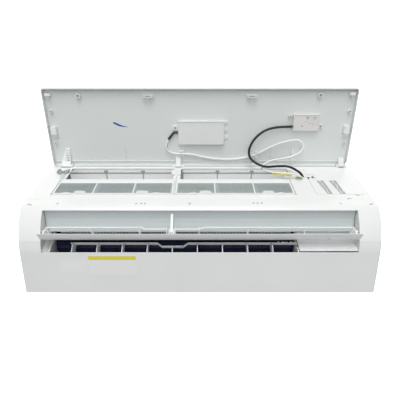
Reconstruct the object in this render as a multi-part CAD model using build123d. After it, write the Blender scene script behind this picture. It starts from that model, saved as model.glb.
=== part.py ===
from build123d import *
import math
import os

# Wall-hung indoor unit of a split air conditioner, lying on its back.
# Local drawing frame: X right, Y from the bottom edge to the top edge, Z away from the wall.
# Export moves everything by -H/2 in Y, so the origin is the centre of the back face.

# ---------------------------------------------------------------- driving dimensions (mm)
W = 802.0            # overall width
H = 297.0            # overall height, bottom edge to top edge
Z_FACE = 178.0       # front frame plane
D_CLOSED = 194.0     # depth with the front panel shut
Z_PART = 120.0       # parting line of casing and chassis
T_WALL = 2.6         # casing wall
HINGE_Y, HINGE_Z = 282.0, 180.4
OPEN_DEG = 99.4      # panel opens past square and leans back
PANEL_W, PANEL_L = 788.0, 198.7
FAN_Y, FAN_Z, FAN_R = 106.0, 73.0, 46.0
FAN_X0, FAN_X1 = -330.5, 213.0
DUCT_X0, DUCT_X1 = -335.0, 218.0
OUT_HALF = 351.0     # outlet half width
LV_Y, LV_Z = 58.0, 131.0      # louver pivot
VANE_X0, VANE_PITCH = -62.0, 56.2
VANE_N = 9
VANE_B = (41.0, 70.0)         # vane pivot on the lower duct wall
W_DIR = (-0.41, 0.9121)       # along that wall, towards the outlet
N_DIR = (0.9121, 0.41)        # off that wall
FILTER_Z = 178.3
FILTER_TRAVEL = 135.0

S = Vector(0, -H / 2, 0)
parts = {}


def put(name, *shapes):
    flat = []
    for s in shapes:
        if isinstance(s, (list, tuple)):
            flat += list(s)
        else:
            flat.append(s)
    sol = []
    for s in flat:
        sol += list(s.solids())
    parts[name] = sol


def box(x0, x1, y0, y1, z0, z1):
    return Solid.make_box(x1 - x0, y1 - y0, z1 - z0, Plane((x0, y0, z0)))


def prism(pts, x0, x1):
    """Closed (y, z) polygon run along X from x0 to x1."""
    f = make_face(Plane.YZ.offset(x0) * Polyline(*pts, close=True))
    return extrude(f, x1 - x0, dir=(1, 0, 0)).solids()[0]


def prism_z(pts, z0, z1):
    f = make_face(Plane.XY.offset(z0) * Polyline(*pts, close=True))
    return extrude(f, z1 - z0, dir=(0, 0, 1)).solids()[0]


def rod(p0, p1, r):
    v = Vector(*p1) - Vector(*p0)
    return Solid.make_cylinder(r, v.length, Plane(origin=Vector(*p0), z_dir=v))


def tube(p0, p1, r, ri):
    v = Vector(*p1) - Vector(*p0)
    pl = Plane(origin=Vector(*p0), z_dir=v)
    return (Solid.make_cylinder(r, v.length, pl) - Solid.make_cylinder(ri, v.length, pl)).solids()[0]


def strip(pts, t):
    """Thick open polyline: returns polygon points, thickness t to the left of travel."""
    n = len(pts)
    out = []
    for i, (y, z) in enumerate(pts):
        d = []
        if i > 0:
            d.append((y - pts[i - 1][0], z - pts[i - 1][1]))
        if i < n - 1:
            d.append((pts[i + 1][0] - y, pts[i + 1][1] - z))
        d = [(a / math.hypot(a, b), b / math.hypot(a, b)) for a, b in d]
        if len(d) == 1:
            nx, nz, k = -d[0][1], d[0][0], 1.0
        else:
            nx, nz = -(d[0][1] + d[1][1]), d[0][0] + d[1][0]
            l = math.hypot(nx, nz)
            nx, nz = nx / l, nz / l
            k = 1.0 / max(0.5, nx * -d[0][1] + nz * d[0][0])
        out.append((y + nx * t * k, z + nz * t * k))
    return list(pts) + out[::-1]


def fuse(*s):
    flat = []
    for a in s:
        flat += list(a) if isinstance(a, (list, tuple)) else [a]
    r = flat[0]
    if len(flat) > 1:
        r = r.fuse(*flat[1:])
    return r.clean() if hasattr(r, "clean") else r


def cut(a, *b):
    flat = []
    for c in b:
        flat += list(c) if isinstance(c, (list, tuple)) else [c]
    return a.cut(*flat)


def uni(s, n=0):
    return s.solids()[n]


# ---------------------------------------------------------------- outer shell
def profile(o):
    """Side profile of the body, moved in by o."""
    sl = (27.0, 95.0)
    k = o / 0.9619
    a = (k, o) if o else (0.0, 0.0)
    if o:
        a = (k + o * 0.284, o)
    b = (27.0 + o * 0.9619, 95.0 - o * 0.27)
    l1 = Line(a, b)
    pts = [b, (36.5, 117.5), (50.5, 140.0), (67.0, 159.0), (82.0, 172.0), (98.0, 178.0 - o)]
    if o:
        pts = [b, (36.5 + o * .9, 117.5 - o * .43), (50.5 + o * .8, 140.0 - o * .6),
               (67.0 + o * .69, 159.0 - o * .73), (82.0 + o * .5, 172.0 - o * .87), (98.0, 178.0 - o)]
    sp = Spline(*pts, tangents=[(0.274, 0.962), (1, 0)])
    l2 = Line((98.0, 178.0 - o), (283.0, 178.0 - o))
    arc = RadiusArc((283.0, 178.0 - o), (H - o, 164.0), 14.0 - o)
    l3 = Line((H - o, 164.0), (H - o, o))
    l4 = Line((H - o, o), a)
    return make_face([l1, sp, l2, arc, l3, l4])


outer = extrude(Plane.YZ.offset(-W / 2) * profile(0), W, dir=(1, 0, 0)).solids()[0]
ends = outer.edges().filter_by(lambda e: abs(abs(e.center().X) - W / 2) < 0.01 and e.center().Z > 1
                               and e.center().Z < 179)
outer = uni(outer.fillet(5.0, ends))
inner = extrude(Plane.YZ.offset(-W / 2 + T_WALL) * profile(T_WALL), W - 2 * T_WALL, dir=(1, 0, 0)).solids()[0]
open_back = box(-W / 2 + 8, W / 2 - 8, 8, H - 8, -1, T_WALL + 0.5)
shell = cut(outer, inner)

# ---------------------------------------------------------------- windows and filter grid
WIN_X = [(-345, -253.5), (-244, -161.5), (-153, -71.5), (-51, 37.5), (46, 130.5), (139, 220.5)]
WIN_Y = (141.6, 186.0)
UP_X = [(-340, -68), (-50, 231)]
UP_Y = (209.0, 270.5)

# ---------------------------------------------------------------- front casing
casing = uni(cut(shell, box(-500, 500, -10, 400, -10, Z_PART)))
cuts = [box(a, b, WIN_Y[0], WIN_Y[1], 170, 184) for a, b in WIN_X]
cuts += [box(a, b, UP_Y[0], UP_Y[1], 170, 184) for a, b in UP_X]
# air outlet
cuts.append(box(-OUT_HALF, OUT_HALF, 10, 84.5, Z_PART - 1, 171.6))
# wiring opening under the terminal cover, cable hole, gap slot
cuts.append(box(300, 384, 150, 262, 170, 184))
cuts.append(box(257, 279, 211, 233, 168, 184))
cuts += [Solid.make_cylinder(11.0, 20, Plane((x, 222, 168))) for x in (257, 279)]
casing = cut(casing, cuts)
add = []
# filter rails: rims round the windows and the bridge rail over the filters
add += [box(b, b + 1.5, WIN_Y[0], WIN_Y[1], 171.5, 176) for a, b in WIN_X]
add += [box(-352, -348.2, 136, 208, 177.6, 182.6), box(224.6, 228.4, 136, 208, 177.6, 182.6)]
# ledge and T ribs on the inside of the top wall, seen through the upper openings
add += [box(-362, 240, 288.4, 295.0, 152.5, 155.0)]
for x in (-258, -157, -52, 48, 142):
    add += [box(x - 1.3, x + 1.3, 289.6, 295.0, 121.0, 154.0), box(x - 5.0, x + 5.0, 289.0, 295.0, 154.5, 161.0)]
# centre rib carrying both filters' inner edges
add += [box(-62.5, -59.5, 136, 264, 177.6, 182.6)]
# hinge sockets
for x in (-376.6, -346.4, -70.5, -51.5, 365.4, 386.0):
    add.append(box(x, x + 5.6, 276.0, 288.0, 168.0, 183.4))
# base of the centre hinge
add += [box(-73, -50, 231, 257, 177.6, 182.2)]
# outlet end walls and top lip
add += [box(-OUT_HALF - 2.6, -OUT_HALF, 40, 89, Z_PART, 176), box(OUT_HALF, OUT_HALF + 2.6, 40, 89, Z_PART, 176)]
add += [box(-390, 390, 92, 94.5, 171.5, 176)]
casing = fuse(casing, add)
holes = []
for a, b in ((-376.6, -340.8), (-70.5, -45.9), (365.4, 391.6)):
    holes.append(rod((a - 1, HINGE_Y, HINGE_Z), (b + 1, HINGE_Y, HINGE_Z), 2.05))
    holes.append(box(a + 5.6, b - 5.6, 276.5, 290.6, 172.4, 184.0))
# keep what stands proud of the profile at the outlet ends off
outside = cut(box(-500, 500, -20, 120, 60, 200), extrude(Plane.YZ.offset(-450) * profile(0.4), 900, dir=(1, 0, 0)).solids()[0])
casing = cut(casing, holes, outside,
             rod((-360, LV_Y, LV_Z), (-340, LV_Y, LV_Z), 3.05), rod((340, LV_Y, LV_Z), (360, LV_Y, LV_Z), 3.05))
# side fastening screws
casing_sol = sorted(casing.solids(), key=lambda s: -s.volume)
put("front_casing", casing_sol[0])

# ---------------------------------------------------------------- rear chassis
chassis = cut(shell, box(-500, 500, -10, 400, Z_PART - 0.3, 400))
chassis = cut(chassis, box(-OUT_HALF, OUT_HALF, -10, 70, 95, 200), open_back)
# inlet grille in the top face
chassis = cut(chassis, [box(-366 + i * 19.6, -350.8 + i * 19.6, H - 5, H + 5, 64, 112) for i in range(30)])
lower = [(30.0, 93.0), (33.0, 84.0), (44.0, 60.0), (58.0, 41.0), (75.0, 26.5), (95.0, 19.0), (108.0, 18.0),
         (126.0, 22.0), (143.0, 33.0), (155.0, 49.0), (160.5, 67.0), (160.5, 86.0)]
scroll = prism(strip(lower, -2.6), DUCT_X0, DUCT_X1)
fus = [chassis, scroll]
# duct end walls
end_poly = [(29.8, 93.0), (34.0, 84.0), (44.0, 58.0), (58.0, 39.0), (75.0, 24.5), (95.0, 17.0), (108.0, 15.5),
            (128.0, 19.5), (145.0, 31.0), (158.0, 47.0), (163.0, 67.0), (163.0, 119.0), (86.0, 119.0), (74.0, 105.0), (60.0, 99.5), (44.0, 98.0)]
hole_fan = Solid.make_cylinder(19.0, 40, Plane((DUCT_X0 - 20, FAN_Y, FAN_Z), z_dir=(1, 0, 0)))
hole_mot = Solid.make_cylinder(19.0, 40, Plane((DUCT_X1 - 20, FAN_Y, FAN_Z), z_dir=(1, 0, 0)))
fus.append(cut(prism(end_poly, DUCT_X0 - 3, DUCT_X0), hole_fan))
fus.append(cut(prism(end_poly, DUCT_X1, DUCT_X1 + 3), hole_mot, box(205, 225, 44, 66, 89.5, 106)))
# back wall with stiffening ribs
fus.append(box(-398.5, 398.5, 60, 294.5, 10.0, 12.6))
fus.append(box(-398.5, 398.5, 57.5, 60, 0.5, 40))
for x in (-300, -220, -140, -60, 20, 100, 180):
    fus.append(prism([(60, 12.5), (60, 38), (75, 24), (95, 16.5), (110, 15.5), (128, 19.5), (145, 31),
                      (158, 47), (164, 67), (164, 34), (188, 12.5)], x - 1, x + 1))
for x in (-395.5, 393.5):
    fus.append(box(x, x + 2, 62, 292, 12.5, 60))
# webs to the outlet edge
fus.append(box(-398.5, -342, 26, 60, 38, 40.6))
# cheeks closing the outlet ends under the casing
cheek = [(28.2, 95.5), (28.2, 92.0), (92.0, 92.0), (92.0, 119.5), (37.6, 119.5)]
fus.append(prism(cheek, -OUT_HALF - 2.6, -OUT_HALF))
fus.append(prism(cheek, OUT_HALF, OUT_HALF + 2.6))
# posts under the wiring box and lugs for the coil ends
for x, y in ((248, 158), (248, 258), (377, 158), (377, 258)):
    fus.append(box(x, x + 8, y, y + 8, 12, 96))
fus.append(box(-338, -324.2, 150, 179, 33, 41))
fus.append(box(207.8, 221, 150, 179, 33, 41))
# motor cradle and bearing seat
fus.append(box(222, 232, 66, 146, 12.5, 40))
fus.append(box(286, 296, 66, 146, 12.5, 40))
fus.append(box(-352, -342, 92, 120, 12.5, 60))
chassis = fuse(fus)
bores = [rod((x, VANE_B[0] - 6 * N_DIR[0], VANE_B[1] - 6 * N_DIR[1]),
             (x, VANE_B[0] + 3 * N_DIR[0], VANE_B[1] + 3 * N_DIR[1]), 2.05)
         for x in [VANE_X0 + VANE_PITCH * (k - 4) for k in range(VANE_N)]]
cradle = Solid.make_cylinder(39.5, 90, Plane((215, FAN_Y, FAN_Z), z_dir=(1, 0, 0)))
seat = Solid.make_cylinder(15.5, 30, Plane((-360, FAN_Y, FAN_Z), z_dir=(1, 0, 0)))
chassis = cut(chassis, bores, cradle, seat)
ch = sorted(chassis.solids(), key=lambda s: -s.volume)
print("chassis solids", len(ch), [round(s.volume) for s in ch[:4]])
put("rear_chassis", ch[0])

# ---------------------------------------------------------------- wall plate
plate = box(-330, 330, 66, 272, 0, 1.4)
plate_cuts = [box(x, x + 60, 110, 150, -1, 3) for x in (-280, -120, 40, 200)]
plate_holes = [Solid.make_cylinder(2.75, 4, Plane((x, y, -1))) for x in (-300, 0, 300) for y in (84, 254)]
plate_slots = [box(x - 9, x + 9, y - 2.7, y + 2.7, -1, 3) for x in (-170, 170) for y in (84, 254)]
plate = cut(plate, plate_cuts, plate_holes, plate_slots)
hooks = [box(x, x + 36, 262, 264, 1.3, 10.0) for x in (-230, -18, 194)]
hooks += [box(x, x + 36, 72, 74, 1.3, 10.0) for x in (-250, -18, 214)]
lips = [box(-330, 330, 66, 67.6, 1.3, 3.8), box(-330, 330, 270.4, 272, 1.3, 3.8)]
plate = fuse(plate, hooks, lips)
put("wall_plate", uni(plate))

# ---------------------------------------------------------------- drain pan and its plug
pan_poly = [(113, 170.5), (93.5, 171.0), (88.0, 168.5), (84.5, 148.0), (80.0, 138.0), (70.0, 122.5), (71.0, 120.8), (92.0, 124.5), (117.0, 128.5),
            (117.0, 130.8), (95.0, 134.5), (95.0, 165.5), (113.0, 167.5)]
pan = prism(pan_poly, -349.5, 349.5)
pan_ends = [prism([(117, 129), (117, 170.4), (93, 170.8), (92, 125)], x, x + 2.5) for x in (-349.5, 347)]
pan = fuse(pan, pan_ends)
pan = cut(pan, rod((-352, 99.5, 150), (-340, 99.5, 150), 6.5), rod((340, 99.5, 150), (352, 99.5, 150), 6.5))
spigot = tube((349.5, 99.5, 150), (365, 99.5, 150), 8.2, 6.5)
spigot2 = tube((-365, 99.5, 150), (-349.5, 99.5, 150), 8.2, 6.5)
pan = fuse(pan, spigot, spigot2)
put("drain_pan", uni(pan))
put("drain_plug", fuse(rod((-368, 99.5, 150), (-352, 99.5, 150), 6.5), rod((-371, 99.5, 150), (-365, 99.5, 150), 9.0)))

# ---------------------------------------------------------------- evaporator coil
def coil_section(p0, p1, rows_n, t=25.4, x0=-322.0, x1=206.0):
    (y0, z0), (y1, z1) = p0, p1
    L = math.hypot(y1 - y0, z1 - z0)
    dy, dz = (y1 - y0) / L, (z1 - z0) / L
    ny, nz = -dz, dy
    h = t / 2
    poly = [(y0 - ny * h, z0 - nz * h), (y1 - ny * h, z1 - nz * h), (y1 + ny * h, z1 + nz * h), (y0 + ny * h, z0 + nz * h)]
    block = prism(poly, x0, x1)
    cen = []
    for r in range(2):
        o = (-h / 2 if r == 0 else h / 2)
        for i in range(rows_n):
            s = (i + 0.5 + (0.25 if r else -0.25)) * L / rows_n
            cen.append((y0 + dy * s + ny * o, z0 + dz * s + nz * o))
    rods = [rod((x0 - 8, c[0], c[1]), (x1 + 8, c[0], c[1]), 3.6) for c in cen]
    fins = uni(cut(block, rods))
    grooves = []
    tubes = []
    for j, c in enumerate(cen):
        tubes.append(rod((x0 - 9, c[0], c[1]), (x1 + 9, c[0], c[1]), 3.5))
    bends = []
    for r in range(2):
        row = cen[r * rows_n:(r + 1) * rows_n]
        for i in range(rows_n - 1):
            a, b = row[i], row[i + 1]
            end = -1 if (i + r) % 2 else 1
            x = x1 + 9 if end > 0 else x0 - 9
            m = ((a[0] + b[0]) / 2, (a[1] + b[1]) / 2)
            rad = math.hypot(b[0] - a[0], b[1] - a[1]) / 2
            d = Vector(0, b[0] - a[0], b[1] - a[1]).normalized()
            path = ThreePointArc(Vector(x, *a), Vector(x + end * rad, *m), Vector(x, *b))
            sec = Plane(origin=Vector(x, *a), z_dir=(end, 0, 0)) * Circle(3.5)
            bends.append(sweep(sec, path).solids()[0])
    circ = fuse(tubes + bends)
    return fins, circ.solids(), cen, poly


C1 = coil_section((97.5, 149.5), (203.0, 158.5), 5)
C2 = coil_section((210.0, 149.0), (262.0, 104.0), 3)
C3 = coil_section((257.0, 82.3), (181.0, 25.3), 5)
put("coil_front", C1[0])
put("coil_upper", C2[0])
put("coil_rear", C3[0])
put("coil_tubes", C1[1], C2[1], C3[1])
plates = []
for (f, tb, cen, poly) in (C1, C2, C3):
    for x in (-324.2, 206.2):
        cy = sum(p[0] for p in poly) / 4
        cz = sum(p[1] for p in poly) / 4
        big = [(cy + (p[0] - cy) * 1.0, cz + (p[1] - cz) * 1.0) for p in poly]
        pl_ = prism(big, x, x + 1.6)
        pl_ = cut(pl_, [rod((x - 2, c[0], c[1]), (x + 4, c[0], c[1]), 3.5) for c in cen])
        plates.append(uni(pl_))
put("coil_end_plates", plates)

# ---------------------------------------------------------------- refrigerant pipes
def pipe(pts, radii, r):
    path = FilletPolyline(*pts, radius=radii)
    d = Vector(*pts[1]) - Vector(*pts[0])
    sec = Plane(origin=Vector(*pts[0]), z_dir=d) * Circle(r)
    return sweep(sec, path).solids()[0]


c_liq, c_gas = C3[2][4], C3[2][5]
R_LIQ, R_GAS = 3.175, 4.76
liq = pipe([(215.2, *c_liq), (236, *c_liq), (236, 150, 17.6), (236, 32, 14.5), (-236, 32, 14.5)], [9, 12, 12], R_LIQ)
gas = pipe([(215.2, *c_gas), (262, *c_gas), (262, 152, 20.0), (262, 44.6, 24.0), (-226, 44.6, 24.0)], [14, 16, 16], R_GAS)
put("liquid_pipe", liq)
put("gas_pipe", gas)


def nut(x0, x1, c, af, bore):
    n = extrude(Plane.YZ.offset(x0) * Pos(c[0], c[1]) * RegularPolygon(af / 2, 6, major_radius=False), x1 - x0, dir=(1, 0, 0)).solids()[0]
    return uni(cut(n, rod((x0 - 1, *c), (x1 + 1, *c), bore)))


put("flare_nuts", nut(-236, -220, (32, 14.5), 17, R_LIQ), nut(-226, -207, (44.6, 24.0), 20, R_GAS))
clamp = box(96, 116, 26, 57.4, 9, 31)
clamp = cut(clamp, rod((90, 32, 14.5), (120, 32, 14.5), R_LIQ), rod((90, 44.6, 24.0), (120, 44.6, 24.0), R_GAS))
put("pipe_clamp", uni(clamp))
ch = parts["rear_chassis"][0]
ch = cut(ch, box(230, 242, 50, 66, 9, 21.5), box(255, 269, 50, 66, 15, 32))
parts["rear_chassis"] = [sorted(ch.solids(), key=lambda s: -s.volume)[0]]

# ---------------------------------------------------------------- cross-flow fan
BLADES = 30
blade_r0, blade_r1 = 35.0, FAN_R


def fan_blade(a):
    pts_o, pts_i = [], []
    for k in range(5):
        t = k / 4
        r = blade_r0 + (blade_r1 - blade_r0) * t
        ang = a + 0.26 * t - 0.34 * t * (1 - t)
        pts_o.append((r, ang - 0.6 / r))
        pts_i.append((r, ang + 0.6 / r))
    pl_ = pts_o + pts_i[::-1]
    return [(FAN_Y + r * math.cos(g), FAN_Z + r * math.sin(g)) for r, g in pl_]


faces = [make_face(Plane.YZ.offset(FAN_X0) * Polyline(*fan_blade(2 * math.pi * k / BLADES), close=True))
         for k in range(BLADES)]
blades = [extrude(f, FAN_X1 - FAN_X0, dir=(1, 0, 0)).solids()[0] for f in faces]
rings = []
n_ring = 9
for k in range(n_ring):
    x = FAN_X0 + k * (FAN_X1 - FAN_X0 - 1.8) / (n_ring - 1)
    ri = 4.0 if k == 0 else (13.0 if k == n_ring - 1 else 32.0)
    c = Solid.make_cylinder(FAN_R - 0.6, 1.8, Plane((x, FAN_Y, FAN_Z), z_dir=(1, 0, 0)))
    rings.append(uni(cut(c, Solid.make_cylinder(ri, 6, Plane((x - 2, FAN_Y, FAN_Z), z_dir=(1, 0, 0))))))
fan = fuse(blades + rings)
fs = sorted(fan.solids(), key=lambda s: -s.volume)
print("fan solids", len(fs), round(fs[0].volume))
put("crossflow_fan", fs[0])
hub = rod((FAN_X1 - 18, FAN_Y, FAN_Z), (FAN_X1, FAN_Y, FAN_Z), 13.0)
hub = cut(hub, rod((FAN_X1 - 30, FAN_Y, FAN_Z), (FAN_X1 + 5, FAN_Y, FAN_Z), 4.0))
put("fan_hub", uni(hub))
put("fan_shafts", rod((-347, FAN_Y, FAN_Z), (FAN_X0 + 1.8, FAN_Y, FAN_Z), 4.0),
    rod((FAN_X1 - 18, FAN_Y, FAN_Z), (246, FAN_Y, FAN_Z), 4.0))
put("fan_bearing", uni(cut(rod((-351.5, FAN_Y, FAN_Z), (-342.5, FAN_Y, FAN_Z), 15.5),
                           rod((-349, FAN_Y, FAN_Z), (-340, FAN_Y, FAN_Z), 4.05))))
mot = fuse(rod((226, FAN_Y, FAN_Z), (292, FAN_Y, FAN_Z), 39.0), rod((218, FAN_Y, FAN_Z), (298, FAN_Y, FAN_Z), 15.0))
mot = cut(mot, rod((214, FAN_Y, FAN_Z), (248, FAN_Y, FAN_Z), 4.05))
put("fan_motor", uni(mot))
# saddle straps over the motor
sad = []
for x in (222, 286):
    ring = tube((x, FAN_Y, FAN_Z), (x + 10, FAN_Y, FAN_Z), 42.5, 39.0)
    sad.append(uni(cut(ring, box(x - 1, x + 11, 50, 160, 20, 40.0))))
    sad.append(box(x, x + 10, 133, 146, 40.0, 44.0))
sad.append(box(222, 296, 100, 112, 112.4, 116.0))
sad = fuse(sad)
sad = cut(sad, rod((210, FAN_Y, FAN_Z), (310, FAN_Y, FAN_Z), 39.0))
put("motor_saddle", max(sad.solids(), key=lambda q: q.volume))

# ---------------------------------------------------------------- outlet: louver, blanks, vanes
A_, B_ = (27.5, 147.8), (72.5, 111.0)
chord = math.hypot(B_[0] - A_[0], B_[1] - A_[1])
cd = ((B_[0] - A_[0]) / chord, (B_[1] - A_[1]) / chord)
cn = (cd[1], -cd[0])                       # towards the belly
SAG, LV_T = 12.0, 2.8


def lv(t, o):
    s = chord * t
    b = 4 * SAG * t * (1 - t)
    return (A_[0] + cd[0] * s + cn[0] * (b + o), A_[1] + cd[1] * s + cn[1] * (b + o))


n_s = 7
outer_s = Spline(*[lv(k / (n_s - 1), 0) for k in range(n_s)])
th = [0.9, 2.3, LV_T, LV_T, LV_T, 2.3, 0.9]
inner_s = Spline(*[lv(k / (n_s - 1), -th[k]) for k in range(n_s)][::-1])
prof = make_face([outer_s, Line(lv(1, 0), lv(1, -th[-1])), inner_s, Line(lv(0, -th[0]), lv(0, 0))])
blade = extrude(Plane.YZ.offset(-348.6) * prof, 697.2, dir=(1, 0, 0)).solids()[0]
lv_solid = blade
arm_poly = [lv(0.22, -1.5), lv(0.5, -1.5), lv(0.72, -1.5), (LV_Y + 6.5, LV_Z - 2.0), (LV_Y + 5, LV_Z + 5.0), (LV_Y - 4.5, LV_Z + 5.5)]
arms = [prism(arm_poly, x, x + 3) for x in (-346.0, 343.0)]
arms += [prism(arm_poly, -69.5, -67.0), prism(arm_poly, -59.0, -56.5)]
pins = [rod((-354.5, LV_Y, LV_Z), (-343, LV_Y, LV_Z), 3.0), rod((343, LV_Y, LV_Z), (358, LV_Y, LV_Z), 3.0),
        rod((-68, LV_Y, LV_Z), (-58, LV_Y, LV_Z), 2.0)]
blade = fuse([blade] + arms + pins)
put("louver_blade", sorted(blade.solids(), key=lambda s: -s.volume)[0])
# upper guide rail of the louver
rail_poly = [(41.5, 153.6), (43.0, 151.6), (55.5, 145.4), (56.2, 146.6), (44.2, 153.2)]
rail_low = [(40.5, 150.2), (42.0, 148.2), (54.5, 142.0), (55.2, 143.2), (43.2, 149.8)]
def slant(poly, x, d):
    f = make_face(Plane.YZ.offset(x) * Polyline(*poly, close=True))
    return extrude(f, Vector(*d).length, dir=d).solids()[0]


rails = [prism(rail_poly, -334, -129), slant(rail_poly, -129, (9, -1.0, -3.4)), prism(rail_low, -120, -71.5),
         prism(rail_low, -54.5, -4.5), slant(rail_low, -4.5, (15.5, 1.0, 3.4)), prism(rail_poly, 11, 334)]
strut = [(43.5, 152.0), (53.5, 147.0), (52, 126), (42, 124)]
struts = [cut(prism(strut, x - 1, x + 1), lv_solid) for x in (-331, -235.5, -132, -72.5, -53.5, -2.2, 104.5, 228, 331)]
struts = [max(s_.solids(), key=lambda q: q.center().Z) for s_ in struts]
lr = fuse(rails + struts)
put("louver_guide", [q for q in lr.solids() if q.volume > 50])
# centre pivot post hangs from the drain pan
post = [(87.0, 160.0), (80.0, 154.5), (66.0, 142.5), (59.0, 137.0), (53.0, 134.0), (52.5, 129.0), (57.0, 125.6), (64.0, 126.0), (73.0, 125.5)]
pst = prism(post, -65.8, -60.4)
pst = cut(pst, rod((-70, LV_Y, LV_Z), (-56, LV_Y, LV_Z), 2.05), parts["drain_pan"][0])
put("louver_post", max(pst.solids(), key=lambda s: s.volume))
put("louver_bush", uni(cut(rod((-356.5, LV_Y, LV_Z), (-353.6, LV_Y, LV_Z), 6.0), rod((-360, LV_Y, LV_Z), (-350, LV_Y, LV_Z), 3.05))))
lm = fuse(rod((358.6, LV_Y + 6.5, LV_Z - 4.6), (377, LV_Y + 6.5, LV_Z - 4.6), 13.5), box(358.6, 361, LV_Y + 2, LV_Y + 27, LV_Z - 9, LV_Z - 1),
          box(362, 376, LV_Y + 15, LV_Y + 25, LV_Z - 11, LV_Z + 3), rod((353.7, LV_Y, LV_Z), (360, LV_Y, LV_Z), 5.5))
lm = cut(lm, rod((350, LV_Y, LV_Z), (358.4, LV_Y, LV_Z), 3.05))
put("louver_motor", uni(lm))
# blanks that close the outlet beside the duct
blank = [(31.0, 97.2), (44.0, 98.8), (60.0, 100.6), (61.2, 103.2), (74.0, 106.4), (84.5, 116.5)]
blank2 = [(31.0, 97.2), (44.0, 99.6), (60.0, 101.2), (74.0, 106.2), (84.5, 116.5)]
bl = prism(strip(blank, 1.6), 221.3, 350.5)
bl2 = slant(strip(blank2, 1.6), -350.5, (12.2, 0, -16.0))
put("outlet_blanks", uni(cut(bl, parts["drain_pan"][0])), uni(cut(bl2, parts["drain_pan"][0])))


def vp(x, u, t):
    return (x, VANE_B[0] + u * W_DIR[0] + t * N_DIR[0], VANE_B[1] + u * W_DIR[1] + t * N_DIR[1])


vane_poly = [(-8, 1.4), (-8, 8), (0, 13.5), (8, 18.5), (14.5, 25), (24, 25), (27.5, 18), (25, 1.4)]
vane_low = [(-8, 1.4), (-8, 8), (0, 12.0), (8, 15.5), (12, 17), (24, 17), (26, 14), (25, 1.4)]
VANE_XS = [VANE_X0 + VANE_PITCH * (k - 4) for k in range(VANE_N)]
for k, x in enumerate(VANE_XS):
    p2 = [vp(x, *q)[1:] for q in vane_poly]
    v = prism(p2, x - 0.8, x + 0.8)
    if k == 4:
        p2 = [vp(x, *q)[1:] for q in vane_low]
        v = prism(p2, x - 0.8, x + 0.8)
    lift = -8.0 if k == 4 else 0.0
    v = fuse(v, rod(vp(x, 0, -3.5), vp(x, 0, 10), 2.0), rod(vp(x, 18, 22 + lift), vp(x, 18, 28.4 + lift), 1.1))
    put("vane_%d" % (k + 1), uni(v))
CR_X = 236.8


def vbar(x0, x1, u0, u1, t0, t1):
    return prism([vp(0, u0, t0)[1:], vp(0, u1, t0)[1:], vp(0, u1, t1)[1:], vp(0, u0, t1)[1:]], x0, x1)


def vslant(x0, x1, dt0, dt1):
    q = [vp(x0, 12.2, 25.5 + dt0), vp(x0, 20.8, 25.5 + dt0), vp(x0, 20.8, 27.4 + dt0), vp(x0, 12.2, 27.4 + dt0)]
    d = (x1 - x0, (dt1 - dt0) * N_DIR[0], (dt1 - dt0) * N_DIR[1])
    return slant([p[1:] for p in q], x0, d)


# the link steps down under the centre post
link = fuse(vbar(-294, -97, 12.2, 20.8, 25.5, 27.4), vslant(-97, -86, 0, -8), vbar(-86, -38, 12.2, 20.8, 17.5, 19.4),
            vslant(-38, -27, -8, 0), vbar(-27, 243.5, 12.2, 20.8, 25.5, 27.4))
link = cut(link, [vbar(x - 1.6, x + 1.6, 13.4, 19.7, 15, 29) for x in VANE_XS + [CR_X]])
put("vane_link", uni(link))
crank = fuse(rod(vp(CR_X, 0, 14), vp(CR_X, 0, 24), 4.5), vbar(CR_X - 3, CR_X + 3, 0, 20, 21, 24),
             rod(vp(CR_X, 18, 22), vp(CR_X, 18, 28.4), 1.1))
crank = cut(crank, rod(vp(CR_X, 0, 10), vp(CR_X, 0, 20), 2.05))
put("swing_crank", uni(crank))
sm = fuse(rod(vp(CR_X, 0, -6), vp(CR_X, 0, 11), 12.0), rod(vp(CR_X, 0, 10), vp(CR_X, 0, 19.6), 2.0),
          vbar(CR_X - 14.5, CR_X + 17, -3.5, 3.5, 8.5, 10))
put("swing_motor", uni(sm))

# ---------------------------------------------------------------- electrics
cb = cut(box(242, 391, 152, 272, 96, 166), box(244, 389, 154, 270, 98, 170))
put("control_box", uni(cb))
lid = cut(fuse(box(242, 391, 152, 272, 166, 168), box(244.2, 388.8, 154.2, 269.8, 164.5, 166)), box(254, 285, 207, 234, 160, 170))
put("control_box_lid", uni(lid))
brd = box(248, 330, 158, 266, 102, 103.6)
comps = [box(250, 278, 165, 190, 103.6, 128), box(296, 312, 205, 225, 103.6, 118), Solid.make_cylinder(9, 28, Plane((312, 245, 103.6))),
         Solid.make_cylinder(6.5, 20, Plane((294, 250, 103.6))), box(300, 322, 165, 185, 103.6, 120), box(252, 277, 242, 254, 103.6, 111),
         box(252, 326, 158, 166, 98, 102), box(252, 326, 258, 266, 98, 102)]
put("main_board", uni(fuse([brd] + comps)))
tb = fuse(box(345, 370, 162, 226, 98, 150), box(343, 372, 158, 230, 132, 136))
tb = cut(tb, [Solid.make_cylinder(3.4, 12, Plane((357.5, y, 142))) for y in (170, 186, 202, 218)])
put("terminal_block", uni(tb))
cover = box(274, 389, 139, 271, 178.0, 179.8)
cover = uni(cover.fillet(4.0, cover.edges().filter_by(Axis.Z)))
cover = cut(cover, Solid.make_cylinder(2.1, 10, Plane((340, 147, 174))), box(250, 293.2, 207, 237, 170, 190))
put("terminal_cover", uni(cover))
screws = [fuse(Solid.make_cylinder(3.6, 2.0, Plane((340, 147, 179.8))), Solid.make_cylinder(2.1, 10, Plane((340, 147, 169.9))))]
cs = parts["front_casing"][0]
cs = cut(cs, Solid.make_cylinder(2.1, 20, Plane((340, 147, 168))))
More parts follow.
